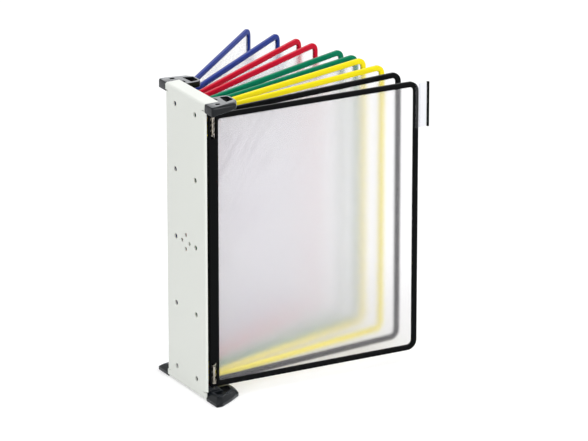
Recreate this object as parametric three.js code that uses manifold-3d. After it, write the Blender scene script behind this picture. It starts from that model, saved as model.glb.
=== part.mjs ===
// Wall document display: a folded steel wall bracket that carries ten framed pockets for letter paper.
// Each pocket frame turns on a steel pin at its top and at its foot, like the page of a book.
// Millimetres. The wall is the plane y = 0 and the display stands out from it along -Y, with +Z up.
// The origin is the middle of the bracket's back face, between its four small cable-tie holes.
import * as THREE from "three";
import { ConvexGeometry } from "three/addons/geometries/ConvexGeometry.js";
import { mergeVertices } from "three/addons/utils/BufferGeometryUtils.js";
import Module from "manifold-3d";

const wasm = await Module();
wasm.setup();

// Pocket frame
const frameHeight = 306;
const frameReach = 244; // pivot to the outer face of the free upright
const barWidth = 6;
const barThickness = 4.2;
const barRounding = 1.2;
const freeCornerRadius = 11;
const spineCornerRadius = 2.5;
const spineBack = 5.2; // spine behind its pivot
const spineFront = 6; // spine in front of its pivot
const frameDrop = 0.9; // the frames sit low in their play

// Clear pocket held in the frame's groove
const filmPair = 0.6; // two films, face to face while the pocket is empty
const grooveDepth = 2;
const spineGrooveDepth = 1.4;
const pocketMouth = 1; // the open top edge lies this far under the top bar
const pocketCornerRadius = 4;

// Pivot window at each end of a spine, with its pin and coil spring
const windowHeight = 24.5;
const windowWidth = 6.6;
const windowBridge = 3; // spine left between the window and the end of the frame
const pinDiameter = 2.4;
const pinTravel = 5;
const pinChamfer = 0.4;
const pinBite = 4.6; // pin inside the rail
const collarDiameter = 5;
const collarThickness = 1.6;
const springDiameter = 5.4;
const springWire = 1;
const springTurns = 3.5;

// Row of pivots
const pivotPitch = 8.4;
const pivotSetback = 12; // pivot row to the wall
const pivotEdge = 4.2; // last pivot to the bracket's side

// Pivot rails
const railThickness = 8.8;
const framePlay = 2.4; // frame to rail, each end, when the frame hangs in the middle
const holeBottom = 0.8; // hole depth beyond the pin's tip
const railCorner = 1;

// Folded steel bracket
const steel = 1.5;
const bendRadius = 2.5;
const flangeCover = 5; // flange in front of the pivot row
const lipStraight = 0.3; // side lip beyond its bend
const lipRelief = 8.5; // plate at each end that has no side lip
const reliefSlit = 1;
const slitReach = 5.5; // slit, in from the bracket's side
const screwColumn = 21.5;
const screwEndInset = 17.7; // end rows to the bracket's ends
const screwMiddleShare = 0.509; // middle rows, of the way from the origin to the end rows
const screwHole = 5.8;
const tieReach = 7.9;
const tieHole = 4.6;

// Corner caps: a smaller pair at the top, and a wider pair that are the feet
const capRounding = 0.8;
const capBack = 0.4; // back of a cap to the wall plane
const capArm = 15; // front arm, inside the bracket's side
const capCornerRadius = 1.6;
const topHeight = 10;
const topReach = 16; // beyond the bracket's side
const topLength = 36.5; // from the wall to the front
const rimDrop = 1.8; // the top face slopes down by this to the side wall
const footHeight = 9.5;
const footReach = 22.5;
const footLength = 39.5;
const footDrop = 1; // the sole lies lower than the bracket
const footEdge = 2.6; // turned upper edge of a foot, in height
const footInset = 1.6; // the same, in plan
const recessDepth = 7;
const recessCornerRadius = 1.6;
const slotLength = 5.4;
const slotWidth = 1.6;
const latchLength = 6;
const latchWidth = 2;
const latchInset = 4.6; // from the bracket's side to the latch slot

// Corners of a cap in plan, from the back outwards and round to the front arm, as shares of its reach
// beyond the bracket, of its arm inside the bracket, and of its length out from the wall.
const topWallShares = [
  [1, 0, 0.01],
  [1, 0, 0.12],
  [0.92, 0, 0.56],
  [0.82, 0, 0.85],
  [0.3, 0, 0.99],
  [0, 0.7, 1],
  [0, 1, 0.92],
];
const topRimShares = [
  [0.93, 0, 0.03],
  [0.95, 0, 0.12],
  [0.62, 0, 0.56],
  [0.45, 0, 0.8],
  [0.14, 0, 0.97],
  [0, 0.7, 0.98],
  [0, 0.98, 0.9],
];
const soleShares = [
  [0.96, 0, 0.01],
  [1, 0, 0.2],
  [0.62, 0, 0.6],
  [0.2, 0, 0.95],
  [0, 0.2, 1],
  [0, 0.8, 0.98],
  [0, 1, 0.9],
];
// The latch recess, as shares of a top cap's reach, arm and length. The feet have the same one.
const recessShares = [
  [0.33, 0, 0.64],
  [0.08, 0, 0.94],
  [0, 0.75, 0.92],
  [0, 0.8, 0.68],
];
const slotPlaceShares = [0.44, 0.33];

// Index tab on the last frame
const tabHeight = 50;
const tabWall = 0.8;
const tabBelowTop = 3;
const tabGrip = 4.6; // how far the clip reaches back over the upright
const tabStand = 9.2; // card holder in front of the clip
const cardThickness = 0.5;
const tabEdgeWidth = 2.7;
const tabEdgeRadius = 1;

// Clearances
const seatGap = 0.3; // between fixed neighbours
const pinPlay = 0.3; // round a pin
const overrun = 1; // how far a cutter passes the face it cuts

// Facets, which are counts
const arcSteps = 2; // a bend takes this many, a true arc twice as many
const bevelSteps = 2;
const pinSides = 8;
const holeSides = 16;
const curlSteps = 8;
const wireSides = 5;

// The frames from the far end of the row to the near end, each with its angle from straight out.
const leaves = [
  { name: "blue_1", colour: 0x2b3f8f, angle: 42.25 },
  { name: "blue_2", colour: 0x2b3f8f, angle: 35.14 },
  { name: "red_1", colour: 0xc8102e, angle: 30.03 },
  { name: "red_2", colour: 0xc8102e, angle: 26.22 },
  { name: "green_1", colour: 0x0b7a53, angle: 19.16 },
  { name: "green_2", colour: 0x0b7a53, angle: 15.55 },
  { name: "yellow_1", colour: 0xf2df1c, angle: 14.2 },
  { name: "yellow_2", colour: 0xf2df1c, angle: 8.74 },
  { name: "black_1", colour: 0x1b1c1e, angle: 3.52 },
  { name: "black_2", colour: 0x1b1c1e, angle: -3.1 },
];

// Sizes that follow
const rowLength = (leaves.length - 1) * pivotPitch;
const halfWidth = rowLength / 2 + pivotEdge;
const railFace = frameHeight / 2 + framePlay;
const halfHeight = railFace + railThickness + seatGap + steel;
const flangeDepth = pivotSetback + flangeCover;
const lipDepth = bendRadius + lipStraight;
const screwRowEnd = halfHeight - screwEndInset;
const screwRowMiddle = screwMiddleShare * screwRowEnd;
const windowEnd = frameHeight / 2 - windowBridge;
const windowStart = windowEnd - windowHeight;
const topKind = { reach: topReach, length: topLength, form: topForm };
const footKind = { reach: footReach, length: footLength, form: footForm };

const steelPaint = surface(0xdfe2dc, 0.45, 0);
const blackPlastic = surface(0x1d1f21, 0.5, 0);
const brightSteel = surface(0xc9c5ba, 0.3, 1);
const clearFilm = surface(0xf1eff2, 0.25, 0);
const cardWhite = surface(0xf7f7f5, 0.85, 0);

function surface(color, roughness, metalness) {
  return new THREE.MeshStandardMaterial({ color, roughness, metalness });
}

// A closed mesh as a solid that can be joined and cut.
function solidOf(geometry) {
  const bare = geometry.clone();
  bare.deleteAttribute("normal");
  bare.deleteAttribute("uv");
  const merged = mergeVertices(bare);
  const mesh = new wasm.Mesh({
    numProp: 3,
    vertProperties: new Float32Array(merged.attributes.position.array),
    triVerts: new Uint32Array(merged.index.array),
  });
  return new wasm.Manifold(mesh);
}

function geometryOf(solid) {
  const mesh = solid.getMesh();
  const geometry = new THREE.BufferGeometry();
  geometry.setAttribute("position", new THREE.BufferAttribute(mesh.vertProperties, 3));
  geometry.setIndex(new THREE.BufferAttribute(mesh.triVerts, 1));
  geometry.computeVertexNormals();
  return geometry;
}

function pieceOf(name, geometry, material) {
  const mesh = new THREE.Mesh(geometry, material);
  mesh.name = name;
  return mesh;
}

// A box between any two opposite corners, as a cutter.
function block(from, to) {
  const span = new THREE.Box3().setFromPoints([from, to]);
  const size = span.getSize(vector(0, 0, 0));
  const middle = span.getCenter(vector(0, 0, 0));
  const box = new THREE.BoxGeometry(size.x, size.y, size.z);
  return solidOf(box.translate(middle.x, middle.y, middle.z));
}

function vector(x, y, z) {
  return new THREE.Vector3(x, y, z);
}

// A round drill on the z axis from one height to another.
function roundCutter(radius, from, to, sides) {
  const rod = new THREE.CylinderGeometry(radius, radius, to - from, sides);
  return rod.rotateX(Math.PI / 2).translate(0, 0, (from + to) / 2);
}

// A straight-sided outline whose corners are rounded, each with its own radius.
function roundedOutline(corners) {
  const shape = new THREE.Shape();
  corners.forEach((corner, i) => {
    const before = corners[(i + corners.length - 1) % corners.length];
    const after = corners[(i + 1) % corners.length];
    const start = towards(corner, before, corner.radius);
    const end = towards(corner, after, corner.radius);
    if (i === 0) shape.moveTo(start.x, start.y);
    else shape.lineTo(start.x, start.y);
    if (corner.radius > 0) shape.quadraticCurveTo(corner.x, corner.y, end.x, end.y);
  });
  shape.closePath();
  return shape;
}

// A moulded form that hollows nowhere, through outlines at their heights.
function convexForm(levels) {
  const points = levels.flatMap(({ outline, height }) =>
    outline.getPoints(arcSteps).map((point) => vector(point.x, point.y, height)),
  );
  return solidOf(new ConvexGeometry(points));
}

function towards(from, to, distance) {
  const span = Math.hypot(to.x - from.x, to.y - from.y);
  const share = distance / span;
  return { x: from.x + (to.x - from.x) * share, y: from.y + (to.y - from.y) * share };
}

// A rectangle with true quarter arcs: radii in the order low-left, low-right, high-right, high-left.
function rectangle(target, left, bottom, right, top, radii) {
  const [lowLeft, lowRight, highRight, highLeft] = radii;
  const quarter = Math.PI / 2;
  target.moveTo(left + lowLeft, bottom);
  target.lineTo(right - lowRight, bottom);
  target.absarc(right - lowRight, bottom + lowRight, lowRight, -quarter, 0, false);
  target.lineTo(right, top - highRight);
  target.absarc(right - highRight, top - highRight, highRight, 0, quarter, false);
  target.lineTo(left + highLeft, top);
  target.absarc(left + highLeft, top - highLeft, highLeft, quarter, Math.PI, false);
  target.lineTo(left, bottom + lowLeft);
  target.absarc(left + lowLeft, bottom + lowLeft, lowLeft, Math.PI, 3 * quarter, false);
  return target;
}

function prism(shape, depth) {
  return new THREE.ExtrudeGeometry(shape, { depth, curveSegments: arcSteps, bevelEnabled: false });
}

// A moulded plate of an outline, with rounded edges, centred on z = 0.
function slab(shape, thickness, rounding) {
  const plate = new THREE.ExtrudeGeometry(shape, {
    depth: thickness - 2 * rounding,
    curveSegments: arcSteps,
    bevelEnabled: true,
    bevelThickness: rounding,
    bevelSize: rounding,
    bevelOffset: -rounding,
    bevelSegments: bevelSteps,
  });
  return plate.translate(0, 0, rounding - thickness / 2);
}

// A U-shaped sheet profile: a web on y = 0 and two legs towards -y, with rounded bends.
function foldedProfile(half, leg) {
  const shape = new THREE.Shape();
  const quarter = Math.PI / 2;
  const centre = half - bendRadius;
  const inner = bendRadius - steel;
  shape.moveTo(half, -leg);
  shape.lineTo(half, -bendRadius);
  shape.absarc(centre, -bendRadius, bendRadius, 0, quarter, false);
  shape.lineTo(-centre, 0);
  shape.absarc(-centre, -bendRadius, bendRadius, quarter, Math.PI, false);
  shape.lineTo(-half, -leg);
  shape.lineTo(steel - half, -leg);
  shape.lineTo(steel - half, -bendRadius);
  shape.absarc(-centre, -bendRadius, inner, Math.PI, quarter, true);
  shape.lineTo(centre, -steel);
  shape.absarc(centre, -bendRadius, inner, quarter, 0, true);
  shape.lineTo(half - steel, -leg);
  shape.closePath();
  return shape;
}

// The wall bracket: side lips along the plate and a deep flange at each end, parted by relief slits.
function wallBracket() {
  const lipEnd = halfHeight - lipRelief;
  const bendLine = halfWidth - bendRadius;
  const flanged = prism(foldedProfile(halfHeight, flangeDepth), 2 * halfWidth);
  flanged.translate(0, 0, -halfWidth).rotateY(-Math.PI / 2);
  const channel = prism(foldedProfile(halfWidth, lipDepth), 2 * lipEnd);
  channel.translate(0, 0, -lipEnd);
  const front = -flangeDepth - overrun;
  const sides = [-1, 1];
  let body = solidOf(flanged);
  for (const side of sides) {
    const from = vector(side * bendLine, front, -lipEnd);
    const to = vector(side * (halfWidth + overrun), overrun, lipEnd);
    body = body.subtract(block(from, to));
  }
  body = body.add(solidOf(channel));
  for (const side of sides) {
    for (const end of sides) {
      const from = vector(side * (halfWidth - slitReach), -lipDepth - overrun, end * lipEnd);
      const to = vector(side * (halfWidth + overrun), overrun, end * (lipEnd + reliefSlit));
      body = body.subtract(block(from, to));
    }
  }
  for (const hole of plateHoles()) {
    const drill = new THREE.CylinderGeometry(hole.radius, hole.radius, steel + 2 * overrun, holeSides);
    body = body.subtract(solidOf(drill.translate(hole.x, -steel / 2, hole.z)));
  }
  return pieceOf("wall_bracket", geometryOf(body), steelPaint);
}

// Ten screw holes in two columns, and four cable-tie holes in a cross about the middle.
function plateHoles() {
  const holes = [];
  for (const z of [-screwRowEnd, -screwRowMiddle, 0, screwRowMiddle, screwRowEnd]) {
    for (const x of [-screwColumn, screwColumn]) {
      holes.push({ x, z, radius: screwHole / 2 });
    }
  }
  for (const sign of [-1, 1]) {
    holes.push({ x: sign * tieReach, z: 0, radius: tieHole / 2 });
    holes.push({ x: 0, z: sign * tieReach, radius: tieHole / 2 });
  }
  return holes;
}

function pivotPlace(index) {
  return rowLength / 2 - index * pivotPitch;
}

// A pivot rail fills the flange from wall to front, clears the ends of the side lips, and has one blind
// hole for each pin.
function pivotRail(name, end) {
  const back = -steel - seatGap;
  const outline = new THREE.Shape();
  const cornerRadii = [railCorner, railCorner, railCorner, railCorner];
  rectangle(outline, -halfWidth, -flangeDepth, halfWidth, back, cornerRadii);
  let body = solidOf(prism(outline, railThickness).translate(0, 0, railFace));
  const radius = pinDiameter / 2 + pinPlay;
  const holeEnd = railFace + pinBite + holeBottom;
  leaves.forEach((leaf, index) => {
    const drill = roundCutter(radius, railFace - overrun, holeEnd, pinSides);
    body = body.subtract(solidOf(drill.translate(pivotPlace(index), -pivotSetback, 0)));
  });
  for (const side of [-1, 1]) {
    const notchX = side * (halfWidth - bendRadius - seatGap);
    const notchLow = vector(notchX, -lipDepth - seatGap, railFace - overrun);
    const notchHigh = vector(side * (halfWidth + overrun), 0, halfHeight - lipRelief + seatGap);
    body = body.subtract(block(notchLow, notchHigh));
  }
  const rail = pieceOf(name, geometryOf(body), blackPlastic);
  rail.scale.z = end;
  return rail;
}

// A cap's outline in plan, drawn in by an inset all round. The bracket's corner is cut from it later.
function capOutline(shares, kind, inset) {
  const middle = { x: halfWidth, y: -kind.length / 2 };
  const corners = shares.map(([outboard, inboard, out]) => ({
    x: halfWidth + outboard * kind.reach - inboard * capArm,
    y: -Math.max(out * kind.length, capBack),
  }));
  const arm = halfWidth - capArm;
  const inner = { x: arm, y: -flangeDepth };
  const back = { x: arm, y: -capBack };
  return roundedOutline(
    [...corners, inner, back].map((corner) => ({
      ...towards(corner, middle, inset),
      radius: capCornerRadius,
    })),
  );
}

// A top cap: upright walls, and a flat top that slopes down a little to its outer side.
function topForm() {
  const low = halfHeight - topHeight;
  return convexForm([
    { outline: capOutline(topWallShares, topKind, capRounding), height: low },
    { outline: capOutline(topWallShares, topKind, 0), height: low + capRounding },
    { outline: capOutline(topWallShares, topKind, 0), height: halfHeight - rimDrop },
    { outline: capOutline(topRimShares, topKind, 0), height: halfHeight },
  ]);
}

// A foot, drawn with its sole up: a flat plate with a broad turned edge on its upper side.
function footForm() {
  const sole = halfHeight + footDrop;
  const upper = sole - footHeight;
  return convexForm([
    { outline: capOutline(soleShares, footKind, footInset), height: upper },
    { outline: capOutline(soleShares, footKind, 0), height: upper + footEdge },
    { outline: capOutline(soleShares, footKind, 0), height: sole - capRounding },
    { outline: capOutline(soleShares, footKind, capRounding), height: sole },
  ]);
}

function cornerCap(name, across, end, kind) {
  const low = halfHeight - topHeight - overrun;
  const high = halfHeight + footDrop + overrun;
  const arm = flangeDepth + seatGap;
  const bracketLow = vector(halfWidth - capArm - overrun, -arm, low);
  const bracketHigh = vector(halfWidth + seatGap, overrun, high);
  let body = kind.form().subtract(block(bracketLow, bracketHigh));
  const recess = roundedOutline(
    recessShares.map(([outboard, inboard, out]) => ({
      x: halfWidth + outboard * topReach - inboard * capArm,
      y: -out * topLength,
      radius: recessCornerRadius,
    })),
  );
  const depth = high - halfHeight + recessDepth;
  const pocket = prism(recess, depth).translate(0, 0, halfHeight - recessDepth);
  body = body.subtract(solidOf(pocket));
  const [slotAcross, slotOut] = slotPlaceShares;
  const slotX = halfWidth + slotAcross * kind.reach;
  const slotY = -slotOut * kind.length;
  const slotLow = vector(slotX - slotWidth / 2, slotY - slotLength / 2, low);
  const slotHigh = vector(slotX + slotWidth / 2, slotY + slotLength / 2, high);
  body = body.subtract(block(slotLow, slotHigh));
  const latchEnd = halfWidth - latchInset;
  const latchLow = vector(latchEnd - latchLength, -arm - latchWidth, low);
  const latchHigh = vector(latchEnd, overrun - arm, high);
  body = body.subtract(block(latchLow, latchHigh));
  const cap = pieceOf(name, geometryOf(body), blackPlastic);
  cap.scale.set(across, 1, end);
  return cap;
}

// A pocket frame, drawn in (reach, height): bars, a wider spine, pivot windows, pin bores and a groove.
function pocketFrame(name, material) {
  const half = frameHeight / 2;
  const thick = barThickness / 2;
  const innerRadius = freeCornerRadius - barWidth;
  const outer = new THREE.Shape();
  const outerRadii = [spineCornerRadius, freeCornerRadius, freeCornerRadius, spineCornerRadius];
  rectangle(outer, -spineBack, -half, frameReach, half, outerRadii);
  const opening = new THREE.Path();
  const innerRadii = [spineCornerRadius, innerRadius, innerRadius, spineCornerRadius];
  const inside = half - barWidth;
  rectangle(opening, spineFront, -inside, frameReach - barWidth, inside, innerRadii);
  outer.holes.push(opening);
  let body = solidOf(slab(outer, barThickness, barRounding).rotateX(Math.PI / 2));
  const boreRadius = pinDiameter / 2 + pinPlay;
  const bore = solidOf(roundCutter(boreRadius, windowEnd - overrun, half + overrun, pinSides));
  const windowLow = vector(-windowWidth / 2, -thick - overrun, windowStart);
  const windowHigh = vector(windowWidth / 2, thick + overrun, windowEnd);
  const pivotCut = block(windowLow, windowHigh).add(bore);
  body = body.subtract(pivotCut).subtract(pivotCut.mirror([0, 0, 1]));
  const groove = filmPair / 2 + seatGap;
  const pocket = pocketSpan();
  const grooveLow = vector(pocket.left - seatGap, -groove, pocket.bottom - seatGap);
  const grooveHigh = vector(pocket.right + seatGap, groove, inside);
  body = body.subtract(block(grooveLow, grooveHigh));
  return pieceOf(name, geometryOf(body), material);
}

function pocketSpan() {
  const inside = frameHeight / 2 - barWidth;
  return {
    left: spineFront - spineGrooveDepth,
    right: frameReach - barWidth + grooveDepth,
    bottom: -inside - grooveDepth,
    top: inside - pocketMouth,
  };
}

// The clear pocket: two films welded at both sides and the foot, open at the top.
function clearPocket(name) {
  const span = pocketSpan();
  const films = new THREE.Shape();
  const lowRadii = [pocketCornerRadius, pocketCornerRadius, 0, 0];
  rectangle(films, span.left, span.bottom, span.right, span.top, lowRadii);
  const sheet = prism(films, filmPair).translate(0, 0, -filmPair / 2);
  return pieceOf(name, sheet.rotateX(Math.PI / 2), clearFilm);
}

// A pivot pin in the frame's own height, tip outwards: its collar meets the window's outer end.
function pinProfile(tip) {
  const radius = pinDiameter / 2;
  const collar = collarDiameter / 2;
  const collarTop = windowEnd - seatGap;
  const collarFoot = collarTop - collarThickness;
  const tail = windowStart + seatGap + pinTravel;
  return [
    new THREE.Vector2(0, tail),
    new THREE.Vector2(radius, tail),
    new THREE.Vector2(radius, collarFoot),
    new THREE.Vector2(collar, collarFoot),
    new THREE.Vector2(collar, collarTop),
    new THREE.Vector2(radius, collarTop),
    new THREE.Vector2(radius, tip - pinChamfer),
    new THREE.Vector2(radius - pinChamfer, tip),
    new THREE.Vector2(0, tip),
  ];
}

function pinSolid(end) {
  const tip = railFace + pinBite + end * frameDrop;
  const turned = new THREE.LatheGeometry(pinProfile(tip), pinSides);
  return solidOf(turned.rotateX(Math.PI / 2));
}

function springPoints(from, to, stepsPerTurn) {
  const radius = (springDiameter - springWire) / 2;
  const steps = springTurns * stepsPerTurn;
  return Array.from({ length: steps + 1 }, (unused, step) => {
    const turn = (2 * Math.PI * step) / stepsPerTurn;
    const height = from + ((to - from) * step) / steps;
    return vector(radius * Math.cos(turn), radius * Math.sin(turn), height);
  });
}

// A coil spring as one unbroken tube between two heights of its wire's centre.
function springCoil(from, to) {
  const points = springPoints(from, to, curlSteps);
  const radius = (springDiameter - springWire) / 2;
  const rise = (to - from) / springTurns;
  const slope = Math.atan2(rise, 2 * Math.PI * radius);
  const positions = [];
  points.forEach((point, step) => {
    const turn = (2 * Math.PI * step) / curlSteps;
    const outward = vector(Math.cos(turn), Math.sin(turn), 0);
    const along = vector(-Math.sin(turn), Math.cos(turn), 0);
    const upright = along.multiplyScalar(-Math.sin(slope)).add(vector(0, 0, Math.cos(slope)));
    for (let side = 0; side < wireSides; side += 1) {
      const round = (2 * Math.PI * side) / wireSides;
      const rim = point.clone();
      rim.addScaledVector(outward, (springWire / 2) * Math.cos(round));
      rim.addScaledVector(upright, (springWire / 2) * Math.sin(round));
      positions.push(rim.x, rim.y, rim.z);
    }
  });
  const faces = [];
  for (let step = 0; step < points.length - 1; step += 1) {
    for (let side = 0; side < wireSides; side += 1) {
      const next = (side + 1) % wireSides;
      const here = step * wireSides;
      const ahead = here + wireSides;
      faces.push(here + side, ahead + next, here + next);
      faces.push(here + side, ahead + side, ahead + next);
    }
  }
  const last = (points.length - 1) * wireSides;
  for (let side = 1; side < wireSides - 1; side += 1) {
    faces.push(0, side, side + 1);
    faces.push(last, last + side + 1, last + side);
  }
  const coil = new THREE.BufferGeometry();
  coil.setAttribute("position", new THREE.Float32BufferAttribute(positions, 3));
  coil.setIndex(faces);
  coil.computeVertexNormals();
  return coil;
}

// The narrowest space between two curls of a spring, measured from point to point.
function leastSpringGap(from, to) {
  const stepsPerTurn = 6 * curlSteps;
  const points = springPoints(from, to, stepsPerTurn);
  let least = Infinity;
  points.forEach((point, i) => {
    for (let j = i + stepsPerTurn / 2; j < points.length; j += 1) {
      least = Math.min(least, point.distanceTo(points[j]) - springWire);
    }
  });
  return least;
}

// The sprung top pin, its loose spring, and the bottom pin with its spring fast to its collar.
function pivotPieces(name) {
  const wire = springWire / 2;
  const collarFoot = windowEnd - seatGap - collarThickness;
  const springFoot = windowStart + seatGap + wire;
  const freeTop = collarFoot - seatGap - wire;
  const topPin = pieceOf(name + "_top_pin", geometryOf(pinSolid(1)), brightSteel);
  const topSpring = pieceOf(name + "_top_spring", springCoil(springFoot, freeTop), brightSteel);
  const seated = solidOf(springCoil(springFoot, collarFoot + wire / 2));
  const bottom = geometryOf(pinSolid(-1).add(seated)).rotateX(Math.PI);
  const bottomPin = pieceOf(name + "_bottom_pin", bottom, brightSteel);
  return [topPin, topSpring, bottomPin];
}

// The index tab: a clear extrusion that clips over the upright and holds a card, with a dark edge strip.
function indexTab() {
  const gripBack = frameReach - tabGrip;
  const legIn = barThickness / 2 + seatGap;
  const legOut = legIn + tabWall;
  const webIn = frameReach + seatGap;
  const webOut = webIn + tabWall;
  const pocketIn = cardThickness / 2 + seatGap;
  const pocketOut = pocketIn + tabWall;
  const holderEnd = webOut + tabStand;
  const half = [
    [gripBack, legOut],
    [gripBack, legIn],
    [webIn, legIn],
  ];
  const outerHalf = [
    [webOut, legOut],
    [webOut, pocketOut],
    [holderEnd, pocketOut],
    [holderEnd, pocketIn],
    [webOut, pocketIn],
  ];
  const mirrored = (row) => [row[0], -row[1]];
  const path = [
    ...half,
    ...half.map(mirrored).reverse(),
    ...outerHalf.map(mirrored),
    ...[...outerHalf].reverse(),
  ];
  const profile = new THREE.Shape(path.map(([x, y]) => new THREE.Vector2(x, y)));
  const top = frameHeight / 2 - tabBelowTop;
  const foot = top - tabHeight;
  const holder = prism(profile, tabHeight).translate(0, 0, foot);
  const card = new THREE.Shape();
  const square = [0, 0, 0, 0];
  rectangle(card, webOut + seatGap, foot + seatGap, holderEnd, top - seatGap, square);
  const cardSheet = prism(card, cardThickness).translate(0, 0, -cardThickness / 2);
  const edgeBack = holderEnd + seatGap;
  const strip = new THREE.Shape();
  const stripRadii = [0, tabEdgeRadius, tabEdgeRadius, 0];
  rectangle(strip, edgeBack, foot, edgeBack + tabEdgeWidth, top, stripRadii);
  const stripBody = prism(strip, 2 * pocketOut).translate(0, 0, -pocketOut);
  return [
    pieceOf("index_tab", holder, clearFilm),
    pieceOf("tab_card", cardSheet.rotateX(Math.PI / 2), cardWhite),
    pieceOf("tab_edge", stripBody.rotateX(Math.PI / 2), blackPlastic),
  ];
}

function leafGroup(leaf, index) {
  const group = new THREE.Group();
  const plastic = surface(leaf.colour, 0.3, 0);
  group.add(pocketFrame(leaf.name + "_frame", plastic));
  group.add(clearPocket(leaf.name + "_pocket"));
  group.add(...pivotPieces(leaf.name));
  if (index === leaves.length - 1) group.add(...indexTab());
  group.position.set(pivotPlace(index), -pivotSetback, -frameDrop);
  group.rotation.z = THREE.MathUtils.degToRad(leaf.angle) - Math.PI / 2;
  return group;
}

const display = new THREE.Group();
display.add(wallBracket());
display.add(pivotRail("top_pivot_rail", 1), pivotRail("bottom_pivot_rail", -1));
display.add(cornerCap("top_cap_far", 1, 1, topKind));
display.add(cornerCap("top_cap_near", -1, 1, topKind));
display.add(cornerCap("foot_far", 1, -1, footKind));
display.add(cornerCap("foot_near", -1, -1, footKind));
leaves.forEach((leaf, index) => {
  display.add(leafGroup(leaf, index));
});

const springFrom = windowStart + seatGap + springWire / 2;
const springTo = windowEnd - 2 * seatGap - collarThickness - springWire / 2;
console.log("least gap of a spring to itself", leastSpringGap(springFrom, springTo).toFixed(2), "mm");

export default display;
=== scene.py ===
# %% [markdown]
# # A wall display for document pockets
#
# The object is a folded steel bracket that hangs on a wall and carries ten clear pockets, each in a
# coloured plastic frame. Every frame turns on two sprung steel pins, like the page of a book.
# The measured model is loaded first and stays as it is. Each cell then builds one piece over it,
# rounder and finer than the measured solid, and gives it the finish of the real one.

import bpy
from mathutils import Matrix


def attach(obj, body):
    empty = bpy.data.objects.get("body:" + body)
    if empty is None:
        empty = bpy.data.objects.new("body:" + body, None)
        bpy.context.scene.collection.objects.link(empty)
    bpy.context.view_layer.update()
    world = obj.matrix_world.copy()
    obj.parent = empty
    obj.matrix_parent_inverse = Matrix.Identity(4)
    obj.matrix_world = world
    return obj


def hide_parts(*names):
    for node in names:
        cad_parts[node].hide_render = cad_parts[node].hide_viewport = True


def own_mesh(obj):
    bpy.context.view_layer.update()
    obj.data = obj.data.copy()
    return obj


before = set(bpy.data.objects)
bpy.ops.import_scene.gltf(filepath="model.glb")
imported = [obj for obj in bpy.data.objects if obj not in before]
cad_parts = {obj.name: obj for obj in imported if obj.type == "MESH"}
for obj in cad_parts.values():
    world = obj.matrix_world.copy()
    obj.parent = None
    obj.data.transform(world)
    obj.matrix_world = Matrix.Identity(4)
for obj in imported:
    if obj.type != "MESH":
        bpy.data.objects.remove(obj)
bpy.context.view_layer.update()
print("measured nodes:", len(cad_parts))

# %% [markdown]
# ## Sizes
#
# Blender works in metres and a workshop drawing in millimetres. The sizes below are written in
# millimetres, as they would stand on the drawing, and one factor turns them into metres where a
# mesh is made. The row of pivots runs along X, the wall is the plane y = 0 and the leaves stand out
# along -Y. Each leaf is listed with its turn from straight out, in degrees.

# %% Names, tools and sizes in millimetres
import math
from types import SimpleNamespace

import bmesh
import bpy
from mathutils import Matrix, Vector

MM = 0.001
FRAME_HEIGHT = 306.0
FRAME_REACH = 244.0
BAR_WIDTH = 6.0
BAR_THICKNESS = 4.2
BAR_ROUNDING = 1.2
FREE_CORNER = 11.0
SPINE_CORNER = 2.5
SPINE_BACK = 5.2
SPINE_FRONT = 6.0
FRAME_DROP = 0.9
PIVOT_PITCH = 8.4
PIVOT_SETBACK = 12.0
HALF_WIDTH = 42.0
HALF_HEIGHT = 166.0
STEEL = 1.5

LEAVES = [
    ("blue_1", 42.25),
    ("blue_2", 35.14),
    ("red_1", 30.03),
    ("red_2", 26.22),
    ("green_1", 19.16),
    ("green_2", 15.55),
    ("yellow_1", 14.2),
    ("yellow_2", 8.74),
    ("black_1", 3.52),
    ("black_2", -3.1),
]
print("leaves:", ", ".join(name for name, angle in LEAVES))

# %% [markdown]
# ## Helpers for materials
#
# A colour picked from a photograph or a paint card is an sRGB hex value, while a shader works with
# linear light, so one function turns the first into the second. A second function adds a node with
# its settings and links in one call, which keeps each material short enough to read. Each finish
# is then kept under the name of the slot that the measured model gives it.


# %% One function for colour and one for nodes
def linear(code):
    """An sRGB hex value as the opaque linear colour that a shader takes."""
    channels = [int(code[i : i + 2], 16) / 255 for i in (0, 2, 4)]
    light = [c / 12.92 if c <= 0.04045 else ((c + 0.055) / 1.055) ** 2.4 for c in channels]
    return (*light, 1.0)


def add(tree, kind, settings=(), links=()):
    """Adds a node. A setting is an input's value, or else a property of the node itself."""
    node = tree.nodes.new(kind)
    for key, value in dict(settings).items():
        if isinstance(key, int) or key in node.inputs:
            node.inputs[key].default_value = value
        else:
            setattr(node, key, value)
    for key, socket in dict(links).items():
        tree.links.new(socket, node.inputs[key])
    return node


def new_material(name):
    material = bpy.data.materials.new(name)
    material.use_nodes = True
    material.node_tree.nodes.clear()
    return material, material.node_tree


def per_mm(size):
    """The scale of a pattern whose features are size millimetres apart."""
    return 1 / (size * MM)


print("the mid grey 808080 is", round(linear("808080")[0], 3), "in linear light")


# %% [markdown]
# ## Powder-coated steel
#
# The bracket is sheet steel with a baked powder coat. Powder melts into a skin with a faint orange
# peel: low bumps about a millimetre apart that break a reflection up softly. The peel is drawn as
# noise in the normal, and a second, wider noise lets the roughness wander a little, as a sprayed
# and baked coat does.


# %% Powder-coated steel
PEEL_SPACING = 1.1
PEEL_HEIGHT = 0.05
COAT_CLOUD = 40.0


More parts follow.
